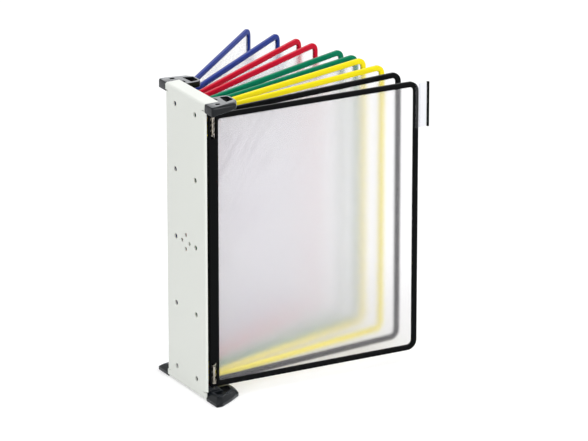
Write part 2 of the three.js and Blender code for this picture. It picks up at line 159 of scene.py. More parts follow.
def powder_coated_steel(colour):
    material, tree = new_material("powder_coated_steel")
    here = add(tree, "ShaderNodeTexCoord").outputs["Object"]
    peel = add(
        tree,
        "ShaderNodeTexNoise",
        {"Scale": per_mm(PEEL_SPACING), "Detail": 2.0},
        {"Vector": here},
    )
    cloud = add(
        tree,
        "ShaderNodeTexNoise",
        {"Scale": per_mm(COAT_CLOUD), "Detail": 1.0},
        {"Vector": here},
    )
    gloss = add(
        tree,
        "ShaderNodeMapRange",
        {"To Min": 0.38, "To Max": 0.5},
        {"Value": cloud.outputs["Fac"]},
    )
    bump = add(
        tree,
        "ShaderNodeBump",
        {"Strength": 0.12, "Distance": PEEL_HEIGHT * MM},
        {"Height": peel.outputs["Fac"]},
    )
    shader = add(
        tree,
        "ShaderNodeBsdfPrincipled",
        {"Base Color": linear(colour), "IOR": 1.5},
        {"Roughness": gloss.outputs["Result"], "Normal": bump.outputs["Normal"]},
    )
    add(tree, "ShaderNodeOutputMaterial", links={"Surface": shader.outputs["BSDF"]})
    return material


FINISH = {"bracket_paint": powder_coated_steel("DFE2DC")}
print("made:", FINISH["bracket_paint"].name)

# %% [markdown]
# ## Moulded plastics
#
# The frames are moulded in a glossy, opaque plastic, coloured all through, and the caps and rails
# in a satin black one from a finely eroded mould. Both are the same build: a base colour, the
# gloss of a smooth or an eroded mould, and a little noise. The glossy one keeps the long, shallow
# waves of sink marks, which bend a highlight; the satin one has a grain of a third of a millimetre.
# Both mirror less than the shader's standard plastic, because in even studio light the full share
# would wash the colours out. The satin black gets a sheen instead, a pale bloom on faces seen at a
# slant, which is how the grain of an eroded mould looks.


# %% Glossy and satin moulded plastic
WEAR_SPACING = 18.0
GLOSSY = {"roughness": 0.3, "grain": 30.0, "depth": 0.3}
SATIN = {"roughness": 0.2, "grain": 0.35, "depth": 0.02}
FRAME_COLOURS = {"blue": "25398B", "red": "C8102E", "green": "0B7A58", "yellow": "F0DF20"}


def moulded_plastic(name, colour, roughness, grain, depth, shine, sheen=0.0):
    """Grain and depth are the spacing and height of the skin's bumps in millimetres."""
    material, tree = new_material(name)
    here = add(tree, "ShaderNodeTexCoord").outputs["Object"]
    texture = add(
        tree,
        "ShaderNodeTexNoise",
        {"Scale": per_mm(grain), "Detail": 2.0},
        {"Vector": here},
    )
    wear = add(
        tree,
        "ShaderNodeTexNoise",
        {"Scale": per_mm(WEAR_SPACING), "Detail": 3.0},
        {"Vector": here},
    )
    gloss = add(
        tree,
        "ShaderNodeMapRange",
        {"To Min": roughness * 0.85, "To Max": roughness * 1.2},
        {"Value": wear.outputs["Fac"]},
    )
    bump = add(
        tree,
        "ShaderNodeBump",
        {"Strength": 0.2, "Distance": depth * MM},
        {"Height": texture.outputs["Fac"]},
    )
    shader = add(
        tree,
        "ShaderNodeBsdfPrincipled",
        {
            "Base Color": linear(colour),
            "IOR": 1.5,
            "Specular IOR Level": shine,
            "Sheen Weight": sheen,
            "Sheen Roughness": 0.3,
            "Sheen Tint": linear("DDE6F0"),
        },
        {"Roughness": gloss.outputs["Result"], "Normal": bump.outputs["Normal"]},
    )
    add(tree, "ShaderNodeOutputMaterial", links={"Surface": shader.outputs["BSDF"]})
    return material


for colour, code in FRAME_COLOURS.items():
    name = f"glossy_{colour}_polystyrene"
    FINISH[colour + "_plastic"] = moulded_plastic(name, code, **GLOSSY, shine=0.03)
FINISH["black_gloss_plastic"] = moulded_plastic(
    "glossy_black_polystyrene", "0B0C0D", **GLOSSY, shine=0.04
)
FINISH["black_plastic"] = moulded_plastic(
    "satin_black_abs", "0A0E12", **SATIN, shine=0.2, sheen=0.8
)
print("plastics:", len(FINISH) - 1)

# %% [markdown]
# ## Clear polypropylene film
#
# The pockets are clear film with a fine matt embossing against glare. What lies close behind such
# a film is nearly sharp and what lies further away melts into a pale haze, because every ray is
# turned a little. A glass shader with a slightly rough skin does that by itself, and also gives the
# faint mirror of the room. Over it lies a thin lilac-white veil, half diffuse and half translucent.
# Towards the upper end of the spine lies a painted reflection, of the kind that a creased film
# shows.
# Slanted streaks, about 13 mm apart and 90 mm long, make the veil denser and greyer there. They
# are full within 20 mm of a point that is 110 mm above the middle of the spine, and gone at 130 mm
# from it. For shadow rays the film is simply clear, so that light falls through the pockets onto
# the frames behind them.


# %% Clear polypropylene film
RIPPLE_SPACING = 90.0
RIPPLE_HEIGHT = 1.2
# The painted reflection streaks: their spacing, length and slant, and where they fade out.
STREAK_SPACING = 13.0
STREAK_LENGTH = 90.0
STREAK_SLANT = 30.0
STREAK_HEIGHT = 110.0
STREAK_FULL = 20.0
STREAK_GONE = 130.0


def painted_reflection_share(tree, here):
    """How much of the painted reflection streaks a point of the film has, from 0 to 1."""
    slant = add(
        tree,
        "ShaderNodeMapping",
        {
            "vector_type": "TEXTURE",
            "Rotation": (0, math.radians(STREAK_SLANT), 0),
            "Scale": (STREAK_SPACING * MM, STREAK_SPACING * MM, STREAK_LENGTH * MM),
        },
        {"Vector": here},
    )
    streak = add(
        tree,
        "ShaderNodeTexNoise",
        {"Scale": 1.0, "Detail": 1.0},
        {"Vector": slant.outputs["Vector"]},
    )
    ridge = add(
        tree,
        "ShaderNodeMapRange",
        {"From Min": 0.48, "From Max": 0.68},
        {"Value": streak.outputs["Fac"]},
    )
    away = add(
        tree,
        "ShaderNodeVectorMath",
        {"operation": "DISTANCE", 1: (0, 0, STREAK_HEIGHT * MM)},
        {0: here},
    )
    near = add(
        tree,
        "ShaderNodeMapRange",
        {
            "From Min": STREAK_FULL * MM,
            "From Max": STREAK_GONE * MM,
            "To Min": 1.0,
            "To Max": 0.0,
        },
        {"Value": away.outputs["Value"]},
    )
    both = {0: ridge.outputs[0], 1: near.outputs[0]}
    return add(tree, "ShaderNodeMath", {"operation": "MULTIPLY"}, both).outputs[0]


def clear_film(name, haze, veil, painted_streak_density):
    """Veil is the milky share of a smooth film. The last argument is what a full painted reflection
    streak adds to it.
    """
    material, tree = new_material(name)
    here = add(tree, "ShaderNodeTexCoord").outputs["Object"]
    ripple = add(
        tree,
        "ShaderNodeTexNoise",
        {"Scale": per_mm(RIPPLE_SPACING), "Detail": 2.0},
        {"Vector": here},
    )
    bump = add(
        tree,
        "ShaderNodeBump",
        {"Strength": 0.25, "Distance": RIPPLE_HEIGHT * MM},
        {"Height": ripple.outputs["Fac"]},
    )
    through = add(
        tree,
        "ShaderNodeBsdfGlass",
        {"Color": (1, 1, 1, 1), "Roughness": haze, "IOR": 1.4},
        {"Normal": bump.outputs["Normal"]},
    )
    # Painted reflection: streaks that make the veil denser near the upper end of the spine.
    painted_streak_mask = painted_reflection_share(tree, here)
    density = add(
        tree,
        "ShaderNodeMapRange",
        {"To Min": veil, "To Max": veil + painted_streak_density},
        {"Value": painted_streak_mask},
    )
    # The painted reflection streaks also turn the veil's colour a greyer lilac.
    tint = add(
        tree,
        "ShaderNodeMix",
        {"data_type": "RGBA", 6: linear("F8F5FF"), 7: linear("BCA8C0")},
        {0: painted_streak_mask},
    )
    front = add(tree, "ShaderNodeBsdfDiffuse", links={"Color": tint.outputs[2]})
    back = add(tree, "ShaderNodeBsdfTranslucent", links={"Color": tint.outputs[2]})
    milky = add(tree, "ShaderNodeMixShader", {0: 0.5}, {1: front.outputs[0], 2: back.outputs[0]})
    body = add(
        tree,
        "ShaderNodeMixShader",
        links={0: density.outputs["Result"], 1: through.outputs[0], 2: milky.outputs[0]},
    )
    path = add(tree, "ShaderNodeLightPath")
    clear = add(tree, "ShaderNodeBsdfTransparent")
    film = add(
        tree,
        "ShaderNodeMixShader",
        links={0: path.outputs["Is Shadow Ray"], 1: body.outputs[0], 2: clear.outputs[0]},
    )
    add(tree, "ShaderNodeOutputMaterial", links={"Surface": film.outputs[0]})
    return material


FINISH["clear_film"] = clear_film(
    "clear_matt_polypropylene_film", haze=0.175, veil=0.042, painted_streak_density=0.06
)
print("made:", FINISH["clear_film"].name)

# %% [markdown]
# ## Clear rigid vinyl
#
# The index tab's holder is extruded from clear rigid vinyl, smooth on both faces. Light goes
# straight through a thin wall with parallel faces, so it is drawn as a transparent shader with a
# little gloss over it, whose roughness wanders as fine handling marks make it.


# %% Clear rigid vinyl
MARK_SPACING = 6.0
GLOSS_SHARE = 0.02


def clear_vinyl():
    material, tree = new_material("clear_rigid_vinyl")
    here = add(tree, "ShaderNodeTexCoord").outputs["Object"]
    marks = add(
        tree,
        "ShaderNodeTexNoise",
        {"Scale": per_mm(MARK_SPACING), "Detail": 3.0},
        {"Vector": here},
    )
    polish = add(
        tree,
        "ShaderNodeMapRange",
        {"To Min": 0.05, "To Max": 0.15},
        {"Value": marks.outputs["Fac"]},
    )
    clear = add(tree, "ShaderNodeBsdfTransparent", {"Color": linear("FDFDFE")})
    gloss = add(
        tree,
        "ShaderNodeBsdfGlossy",
        {"Color": (1, 1, 1, 1)},
        {"Roughness": polish.outputs["Result"]},
    )
    wall = add(
        tree,
        "ShaderNodeMixShader",
        {0: GLOSS_SHARE},
        {1: clear.outputs[0], 2: gloss.outputs[0]},
    )
    add(tree, "ShaderNodeOutputMaterial", links={"Surface": wall.outputs[0]})
    return material


FINISH["clear_plastic"] = clear_vinyl()
print("made:", FINISH["clear_plastic"].name)

# %% [markdown]
# ## Spring steel and card
#
# The pins and springs are bright drawn wire, a metal whose fine marks vary its gloss. The card in
# the index tab is plain white board, which is never quite even: its fibres give it a faint cloud.


# %% Bright spring steel and white card
LINE_SPACING = 0.5
FIBRE_SPACING = 0.6
FIBRE_HEIGHT = 0.03


def bright_steel():
    material, tree = new_material("bright_spring_steel")
    here = add(tree, "ShaderNodeTexCoord").outputs["Object"]
    lines = add(
        tree,
        "ShaderNodeTexNoise",
        {"Scale": per_mm(LINE_SPACING), "Detail": 2.0},
        {"Vector": here},
    )
    gloss = add(
        tree,
        "ShaderNodeMapRange",
        {"To Min": 0.25, "To Max": 0.42},
        {"Value": lines.outputs["Fac"]},
    )
    shader = add(
        tree,
        "ShaderNodeBsdfPrincipled",
        {"Base Color": linear("AFA99D"), "Metallic": 1.0},
        {"Roughness": gloss.outputs["Result"]},
    )
    add(tree, "ShaderNodeOutputMaterial", links={"Surface": shader.outputs["BSDF"]})
    return material


def white_card():
    material, tree = new_material("white_card")
    here = add(tree, "ShaderNodeTexCoord").outputs["Object"]
    fibre = add(
        tree,
        "ShaderNodeTexNoise",
        {"Scale": per_mm(FIBRE_SPACING), "Detail": 4.0},
        {"Vector": here},
    )
    bump = add(
        tree,
        "ShaderNodeBump",
        {"Strength": 0.3, "Distance": FIBRE_HEIGHT * MM},
        {"Height": fibre.outputs["Fac"]},
    )
    shader = add(
        tree,
        "ShaderNodeBsdfPrincipled",
        {"Base Color": linear("EFEFF0"), "Roughness": 0.8},
        {"Normal": bump.outputs["Normal"]},
    )
    add(tree, "ShaderNodeOutputMaterial", links={"Surface": shader.outputs["BSDF"]})
    return material


FINISH["bright_steel"] = bright_steel()
FINISH["card"] = white_card()
print("finishes:", ", ".join(sorted(FINISH)))

# %% [markdown]
# ## Helpers for meshes
#
# Most pieces here are moulded or folded, so they start as an outline. The commonest one is a
# rectangle with a radius of its own at each corner.


# %% A rounded outline
def rounded_rectangle(left, bottom, right, top, radii, steps):
    """Points anticlockwise from the low left corner, with the radii in the same order."""
    corners = [
        (left + radii[0], bottom + radii[0], radii[0], 180),
        (right - radii[1], bottom + radii[1], radii[1], 270),
        (right - radii[2], top - radii[2], radii[2], 0),
        (left + radii[3], top - radii[3], radii[3], 90),
    ]
    points = []
    for x, y, radius, start in corners:
        for step in range(steps + 1):
            turn = math.radians(start + 90 * step / steps)
            points.append((x + radius * math.cos(turn), y + radius * math.sin(turn)))
    return points


print("points in a rounded outline:", len(rounded_rectangle(0, 0, 10, 5, (1, 1, 1, 1), 4)))


# %% [markdown]
# A stack of equal loops is joined into a closed skin. With two equal loops that gives a prism, as
# an extruder would, and with many it gives any form that changes from loop to loop.


# %% Skins over loops
def mesh_object(name, vertices, faces):
    mesh = bpy.data.meshes.new(name)
    mesh.from_pydata([Vector(v) * MM for v in vertices], [], faces)
    mesh.validate()
    piece = bpy.data.objects.new(name, mesh)
    bpy.context.scene.collection.objects.link(piece)
    return piece


def loft(name, loops, closed=False):
    """Quads between equal loops. The ends are capped, or the last loop meets the first."""
    count = len(loops[0])
    vertices = [point for loop in loops for point in loop]
    faces = []
    for i in range(len(loops) if closed else len(loops) - 1):
        here, there = i * count, ((i + 1) % len(loops)) * count
        for j in range(count):
            k = (j + 1) % count
            faces.append((here + j, here + k, there + k, there + j))
    if not closed:
        faces.append(tuple(reversed(range(count))))
        faces.append(tuple(range(len(vertices) - count, len(vertices))))
    piece = mesh_object(name, vertices, faces)
    return outward(piece)


def outward(piece):
    shape = bmesh.new()
    shape.from_mesh(piece.data)
    bmesh.ops.remove_doubles(shape, verts=shape.verts, dist=0.001 * MM)
    bmesh.ops.recalc_face_normals(shape, faces=shape.faces)
    shape.to_mesh(piece.data)
    shape.free()
    return piece


def prism(name, outline, low, high, place=lambda x, y, z: (x, y, z)):
    loops = [[place(x, y, z) for x, y in outline] for z in (low, high)]
    return loft(name, loops)


# %% [markdown]
# Holes and gaps are cut with boolean modifiers and edges are broken with a bevel modifier. Each
# modifier is turned into mesh at once, because the next cut has to find the result. Curved faces
# are shaded smooth and folds over 35 degrees stay sharp.


# %% Cuts, broken edges and shading
def bake(piece):
    """Turns the modifiers of a piece into its mesh."""
    bpy.context.view_layer.update()
    graph = bpy.context.evaluated_depsgraph_get()
    piece.data = bpy.data.meshes.new_from_object(piece.evaluated_get(graph))
    piece.modifiers.clear()
    return piece


def combine(piece, others, operation):
    for other in others:
        change = piece.modifiers.new("change", "BOOLEAN")
        change.operation = operation
        change.solver = "EXACT"
        change.object = other
        bake(piece)
        bpy.data.objects.remove(other)
    return piece


def soften(piece, width, angle=40):
    bevel = piece.modifiers.new("soften", "BEVEL")
    bevel.width = width * MM
    bevel.segments = 2
    bevel.limit_method = "ANGLE"
    bevel.angle_limit = math.radians(angle)
    bevel.use_clamp_overlap = True
    return bake(piece)


def smooth(piece, angle=35):
    piece.data.polygons.foreach_set("use_smooth", [True] * len(piece.data.polygons))
    piece.data.set_sharp_from_angle(angle=math.radians(angle))
    return piece


# %% [markdown]
# A finished piece gets its material, rides on one body of the mechanism, and takes the place of
# the measured nodes that it was made over.


# %% Finishing a piece
def finish(piece, body, slot, *nodes):
    """Gives a piece its finish, its body and the measured nodes that it stands for."""
    piece.data.materials.clear()
    piece.data.materials.append(FINISH[slot])
    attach(piece, body)
    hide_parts(*nodes)
    return piece


# %% [markdown]
# ## Folded steel bracket
#
# One sheet of 1.5 mm steel is folded four times: a deep flange at the top and at the foot, and a
# shallow lip along each side, with a slit beside each lip so that the folds don't tear. The folded
# profile is swept once along X and once along Z and the two are joined, and the screw holes
# are drilled last. Its back, the face towards the wall, is the one that the photograph shows.

# %% Folded steel bracket
BEND = 2.5
FLANGE = 17.0
LIP = 2.8
LIP_RELIEF = 8.5
SLIT = 1.0
SLIT_REACH = 5.5
OVER = 1.0
SCREW_COLUMN = 21.5
SCREW_ROWS = (-148.3, -75.5, 0, 75.5, 148.3)
SCREW_HOLE = 5.8
TIE_REACH = 7.9
TIE_HOLE = 4.6


def folded_profile(half, leg, steps=10):
    """The outline of a folded sheet: a web on y = 0 and two legs towards -y."""
    centre, inside = half - BEND, BEND - STEEL
    outer, inner = [], []
    for step in range(steps + 1):
        turn = math.radians(90 * step / steps)
        outer.append((centre + BEND * math.cos(turn), -BEND + BEND * math.sin(turn)))
        inner.append((centre + inside * math.cos(turn), -BEND + inside * math.sin(turn)))
    right = [(half, -leg), *outer]
    left = [(-x, y) for x, y in reversed(right)]
    inner_left = [(STEEL - half, -leg), *[(-x, y) for x, y in inner]]
    inner_right = [*reversed(inner), (half - STEEL, -leg)]
    return right + left + inner_left + inner_right


def box_between(name, low, high):
    outline = [(low[0], low[1]), (high[0], low[1]), (high[0], high[1]), (low[0], high[1])]
    return prism(name, outline, low[2], high[2])


def drill(name, place, axis, radius, low, high, sides=40):
    """A round cutter through place along the axis 'y' or 'z', from low to high on that axis."""
    loops = []
    for depth in (low, high):
        loop = []
        for i in range(sides):
            turn = 2 * math.pi * i / sides
            across, up = radius * math.cos(turn), radius * math.sin(turn)
            if axis == "z":
                loop.append((place[0] + across, place[1] + up, depth))
            else:
                loop.append((place[0] + across, depth, place[1] + up))
        loops.append(loop)
    return loft(name, loops)


def steel_bracket():
    lip_end = HALF_HEIGHT - LIP_RELIEF
    bend_line = HALF_WIDTH - BEND
    flanged = prism(
        "steel_bracket",
        folded_profile(HALF_HEIGHT, FLANGE),
        -HALF_WIDTH,
        HALF_WIDTH,
        place=lambda x, y, z: (z, y, x),
    )
    cutters = []
    for side in (-1, 1):
        low, high = sorted((side * bend_line, side * (HALF_WIDTH + OVER)))
        cutters.append(box_between("cut", (low, -FLANGE - OVER, -lip_end), (high, OVER, lip_end)))
    combine(flanged, cutters, "DIFFERENCE")
    channel = prism("channel", folded_profile(HALF_WIDTH, LIP), -lip_end, lip_end)
    combine(flanged, [channel], "UNION")
    cutters = []
    for side in (-1, 1):
        for end in (-1, 1):
            x0, x1 = sorted((side * (HALF_WIDTH - SLIT_REACH), side * (HALF_WIDTH + OVER)))
            z0, z1 = sorted((end * lip_end, end * (lip_end + SLIT)))
            cutters.append(box_between("cut", (x0, -LIP - OVER, z0), (x1, OVER, z1)))
    for z in SCREW_ROWS:
        for x in (-SCREW_COLUMN, SCREW_COLUMN):
            cutters.append(drill("cut", (x, z), "y", SCREW_HOLE / 2, -STEEL - OVER, OVER))
    for sign in (-1, 1):
        for place in ((sign * TIE_REACH, 0), (0, sign * TIE_REACH)):
            cutters.append(drill("cut", place, "y", TIE_HOLE / 2, -STEEL - OVER, OVER))
    combine(flanged, cutters, "DIFFERENCE")
    return smooth(flanged)


bracket = finish(steel_bracket(), "bracket", "bracket_paint", "wall_bracket")
print("bracket faces:", len(bracket.data.polygons))

# %% [markdown]
# ## Pivot rails
#
# A black moulded bar fills each flange. It has one blind hole for each pin, and the holes set the
# pitch of the whole row. The edges are broken by half a millimetre, as a mould leaves them, and two
# notches at the back clear the ends of the side lips.

# %% Pivot rails
RAIL_FACE = 155.4
RAIL_TOP = 164.2
RAIL_CORNER = 1.0
RAIL_EDGE = 0.5
SEAT = 0.3
PIN_HOLE = 3.0
PIN_HOLE_DEPTH = 5.4
PIN_HOLE_SIDES = 24


def pivot_x(index):
    return ((len(LEAVES) - 1) / 2 - index) * PIVOT_PITCH


def pivot_rail(name, end):
    edges = (-HALF_WIDTH, -FLANGE, HALF_WIDTH, -STEEL - SEAT)
    outline = rounded_rectangle(*edges, (RAIL_CORNER,) * 4, 4)
    low, high = sorted((end * RAIL_FACE, end * RAIL_TOP))
    rail = soften(prism(name, outline, low, high), RAIL_EDGE)
    cutters = []
    for index in range(len(LEAVES)):
        z0, z1 = sorted((end * (RAIL_FACE - OVER), end * (RAIL_FACE + PIN_HOLE_DEPTH)))
        place = (pivot_x(index), -PIVOT_SETBACK)
        cutters.append(drill("cut", place, "z", PIN_HOLE / 2, z0, z1, PIN_HOLE_SIDES))
    for side in (-1, 1):
        x0, x1 = sorted((side * (HALF_WIDTH - BEND - SEAT), side * (HALF_WIDTH + OVER)))
        z0, z1 = sorted((end * (RAIL_FACE - OVER), end * (HALF_HEIGHT - LIP_RELIEF + SEAT)))
        cutters.append(box_between("cut", (x0, -LIP - SEAT, z0), (x1, 0, z1)))
    return smooth(combine(rail, cutters, "DIFFERENCE"))


for name, end in (("top_pivot_rail", 1), ("bottom_pivot_rail", -1)):
    finish(pivot_rail("moulded_" + name, end), "bracket", "black_plastic", name)
print("rails: 2, each with", len(LEAVES), "pin holes")

# %% [markdown]
# ## Corner caps and feet
#
# Four moulded caps clip over the corners of the bracket. Each wraps the flange with a short front
# arm, and has a deep recess where a finger presses the latch, and a slot beside it. The lower pair
# reaches further out, so that the display can stand. A cap isn't a plain block: it is drawn as two
# outlines in plan, one for the flat face and one for the upright wall. An outline's corners are
# shares of the cap's own reach, arm and length, so both sizes of cap are drawn in the same way.

# %% Outlines of the caps
CAP_BACK = 0.4
CAP_ARM = 15.0
CAP_CORNER = 1.6
# Each corner is three shares: outboard of the bracket's side, inboard along the arm, and out from
# the wall.
TOP_WALL = [
    (1, 0, 0.01),
    (1, 0, 0.12),
    (0.92, 0, 0.56),
    (0.82, 0, 0.85),
    (0.3, 0, 0.99),
    (0, 0.7, 1),
    (0, 1, 0.92),
]
TOP_RIM = [
    (0.87, 0, 0.03),
    (0.9, 0, 0.14),
    (0.62, 0, 0.56),
    (0.45, 0, 0.8),
    (0.14, 0, 0.97),
    (0, 0.7, 0.98),
    (0, 0.98, 0.9),
]
SOLE = [
    (1, 0, 0.01),
    (1.03, 0, 0.18),
    (0.62, 0, 0.6),
    (0.2, 0, 0.95),
    (0, 0.2, 1),
    (0, 0.8, 0.98),
    (0, 1, 0.9),
]
SHOULDER = [
    (0.6, 0, 0.17),
    (0.68, 0, 0.28),
    (0.46, 0, 0.52),
    (0.14, 0, 0.8),
    (0, 0.2, 0.86),
    (0, 0.8, 0.84),
    (0, 1, 0.78),
]
TOP_CAP = SimpleNamespace(
    reach=16.0,
    length=36.5,
    flat=TOP_RIM,
    wall=TOP_WALL,
    fullness=1.0,
    flat_height=HALF_HEIGHT,
    wall_height=HALF_HEIGHT - 2.6,
    end_height=HALF_HEIGHT - 10,
    rise=4.0,
)
FOOT = SimpleNamespace(
    reach=22.5,
    length=39.5,
    flat=SHOULDER,
    wall=SOLE,
    fullness=0.3,
    flat_height=HALF_HEIGHT - 8.0,
    wall_height=HALF_HEIGHT - 2.6,
    end_height=HALF_HEIGHT + 1,
    rise=0.0,
)


def rounded_outline(corners, steps=6):
    """A straight-sided outline with each corner (x, y, radius) rounded by a quadratic curve."""
    points = []
    for i, (x, y, radius) in enumerate(corners):
        here = Vector((x, y))
        before = Vector(corners[i - 1][:2]) - here
        after = Vector(corners[(i + 1) % len(corners)][:2]) - here
        start = here + before.normalized() * radius
        end = here + after.normalized() * radius
        for step in range(steps + 1):
            t = step / steps
            point = start * (1 - t) ** 2 + here * 2 * t * (1 - t) + end * t**2
            points.append((point.x, point.y))
    return points


def cap_place(share, kind):
    outboard, inboard, out = share
    x = HALF_WIDTH + outboard * kind.reach - inboard * CAP_ARM
    return x, -max(out * kind.length, CAP_BACK)


def cap_outline(shares, kind, inset=0.0):
    middle = Vector((HALF_WIDTH, -kind.length / 2))
    corners = [cap_place(share, kind) for share in shares]
    inner_end = HALF_WIDTH - CAP_ARM
    corners += [(inner_end, -FLANGE), (inner_end, corners[0][1])]
    drawn_in = []
    for corner in corners:
        here = Vector(corner)
        drawn_in.append(here + (middle - here).normalized() * inset)
    return rounded_outline([(point.x, point.y, CAP_CORNER) for point in drawn_in])


print("points in a cap's outline:", len(cap_outline(TOP_WALL, TOP_CAP)))

# %% [markdown]
# The turned edge between the two outlines is a blend of both. On a top cap it is a quarter round.
# On a foot it is nearly a straight band, which slopes from the low rim up to the shoulder. The
# other end of the wall gets a small rounding, and on the top caps it rises by 4 mm to the front,
# so that the cap tapers.

# %% The form of a cap
CAP_ROUNDING = 0.8
EDGE_STEPS = 8
ROUNDING_STEPS = 4


def cap_form(kind):
    """Fullness is 1 for an edge that is a quarter round and 0 for one that is a straight bevel."""
    inner, outer = cap_outline(kind.flat, kind), cap_outline(kind.wall, kind)
    loops = []
    for step in range(EDGE_STEPS + 1):
        turn = math.radians(90 * step / EDGE_STEPS)
        drop = 1 - math.cos(turn)
        height = kind.flat_height + (kind.wall_height - kind.flat_height) * drop
        share = kind.fullness * math.sin(turn) + (1 - kind.fullness) * drop
        loop = []
        for (x, y), (u, v) in zip(inner, outer):
            loop.append((x + (u - x) * share, y + (v - y) * share, height))
        loops.append(loop)
    away = math.copysign(CAP_ROUNDING, kind.end_height - kind.wall_height)
    for step in range(ROUNDING_STEPS + 1):
        turn = math.radians(90 * step / ROUNDING_STEPS)
        outline = cap_outline(kind.wall, kind, CAP_ROUNDING * (1 - math.cos(turn)))
        height = kind.end_height - away * (1 - math.sin(turn))
        loops.append([(x, y, height - y / kind.length * kind.rise) for x, y in outline])
    return loft("cap", loops)


print("loops in a cap:", EDGE_STEPS + ROUNDING_STEPS + 2)

# %% [markdown]
# The bracket's corner, the finger recess, the slot and the latch gap are cut from that form, and a
# foot also gets a shallow dish round its recess. Each is drawn as if for the far top corner and
# then mirrored to its own.

# %% Corner caps and feet
RECESS = [(0.33, 0, 0.64), (0.08, 0, 0.94), (0, 0.75, 0.92), (0, 0.8, 0.68)]
RECESS_DEPTH = 7.0
DISH = [
    (0.06, 0, 0.22),
    (0.52, 0, 0.22),
    (0.6, 0, 0.3),
    (0.37, 0, 0.5),
    (0.06, 0, 0.76),
    (0, 0.55, 0.8),
    (0, 0.55, 0.52),
    (0.06, 0, 0.5),
]
DISH_FLOOR = HALF_HEIGHT - 4.5
DISH_CORNER = 1.2
SLOT_PLACE = (0.44, 0, 0.33)
SLOT_SIZE = (4.4, 6.0)
SLOT_CORNER = 2.1
LATCH_SIZE = (6.0, 2.0)
LATCH_INSET = 4.6
CUT_LOW = HALF_HEIGHT - 20
CUT_HIGH = HALF_HEIGHT + 5


def plan_cutter(shares, kind, radius, low, high):
    outline = rounded_outline([(*cap_place(share, kind), radius) for share in shares])
    return prism("cut", outline, low, high)


def slot_cutter(kind):
    x, y = cap_place(SLOT_PLACE, kind)
    half_x, half_y = SLOT_SIZE[0] / 2, SLOT_SIZE[1] / 2
    edges = (x - half_x, y - half_y, x + half_x, y + half_y)
    return prism("cut", rounded_rectangle(*edges, (SLOT_CORNER,) * 4, 4), CUT_LOW, CUT_HIGH)


def corner_cap(name, across, end, kind):
    cap = cap_form(kind)
    cap.name = name
    arm = FLANGE + SEAT
    latch_x = HALF_WIDTH - LATCH_INSET
    corner_low = (HALF_WIDTH - CAP_ARM - OVER, -arm, CUT_LOW)
    latch_low = (latch_x - LATCH_SIZE[0], -arm - LATCH_SIZE[1], CUT_LOW)
    cutters = [
        box_between("cut", corner_low, (HALF_WIDTH + SEAT, OVER, CUT_HIGH)),
        plan_cutter(RECESS, TOP_CAP, CAP_CORNER, HALF_HEIGHT - RECESS_DEPTH, CUT_HIGH),
        slot_cutter(kind),
        box_between("cut", latch_low, (latch_x, OVER - arm, CUT_HIGH)),
    ]
    if kind is FOOT:
        cutters.append(plan_cutter(DISH, kind, DISH_CORNER, CUT_LOW, DISH_FLOOR))
    combine(cap, cutters, "DIFFERENCE")
    cap.data.transform(Matrix.Diagonal((across, 1, end, 1)))
    return smooth(outward(cap), angle=30)


for name, across, end, kind in (
    ("top_cap_far", 1, 1, TOP_CAP),
    ("top_cap_near", -1, 1, TOP_CAP),
    ("foot_far", 1, -1, FOOT),
    ("foot_near", -1, -1, FOOT),
):
    cap = finish(corner_cap("moulded_" + name, across, end, kind), "bracket", "black_plastic", name)
    print(name, len(cap.data.polygons), "faces")

# %% [markdown]
# ## Pocket frames
#
# A frame is one moulding: three slim bars and a wider spine. All four share a cross-section with
# rounded outer edges and a groove inside that holds the film. The section is drawn once as a list
# of insets and heights, each gives one loop round the frame, and the loops are joined into a skin.
# The windows for the pins and springs, and the bores beyond them, are cut from the spine.

# %% Pocket frame mesh
GROOVE = 2.0
SPINE_GROOVE = 1.4
FILM = 0.6
WINDOW_WIDTH = 6.6
WINDOW_LOW = 125.5
WINDOW_HIGH = 150.0
CORNER_STEPS = 8
LEAST_RADIUS = 0.3
WINDOW_CORNER = 0.8
WINDOW_STEPS = 4
EDGE_TURNS = 5


def frame_loop(inset, height, inner):
    """A loop round the frame's outside or inside, drawn in by inset, at a height off its middle."""
    half = FRAME_HEIGHT / 2
    free = FREE_CORNER
    edges = (inset - SPINE_BACK, inset - half, FRAME_REACH - inset, half - inset)
    if inner:
        inside = half - BAR_WIDTH
        free -= BAR_WIDTH
        free_side = FRAME_REACH - BAR_WIDTH - inset
        edges = (SPINE_FRONT + inset, inset - inside, free_side, inside - inset)
    radii = [max(r - inset, LEAST_RADIUS) for r in (SPINE_CORNER, free, free, SPINE_CORNER)]
    points = rounded_rectangle(*edges, radii, CORNER_STEPS)
    return [(x, -height, z) for x, z in points]


def groove_loop(height):
    inside = FRAME_HEIGHT / 2 - BAR_WIDTH
    spine_side = SPINE_FRONT - SPINE_GROOVE - SEAT
    free_side = FRAME_REACH - BAR_WIDTH + GROOVE + SEAT
    edges = (spine_side, -inside - GROOVE - SEAT, free_side, inside)
    points = rounded_rectangle(*edges, (LEAST_RADIUS,) * 4, CORNER_STEPS)
    return [(x, -height, z) for x, z in points]


def section_loops(thick):
    """The bar's cross-section, one loop for each of its corners: outside, inside and groove."""
    edge = []
    for i in range(EDGE_TURNS + 1):
        turn = math.radians(90 * i / EDGE_TURNS)
        inset = BAR_ROUNDING * (1 - math.sin(turn))
        edge.append((inset, thick - BAR_ROUNDING * (1 - math.cos(turn))))
    slit = FILM / 2 + SEAT
    loops = [frame_loop(inset, height, False) for inset, height in edge]
    loops += [frame_loop(inset, -height, False) for inset, height in reversed(edge)]
    loops += [frame_loop(-inset, -height, True) for inset, height in edge]
    loops += [frame_loop(0, -slit, True), groove_loop(-slit)]
    loops += [groove_loop(slit), frame_loop(0, slit, True)]
    loops += [frame_loop(-inset, height, True) for inset, height in reversed(edge)]
    return loops


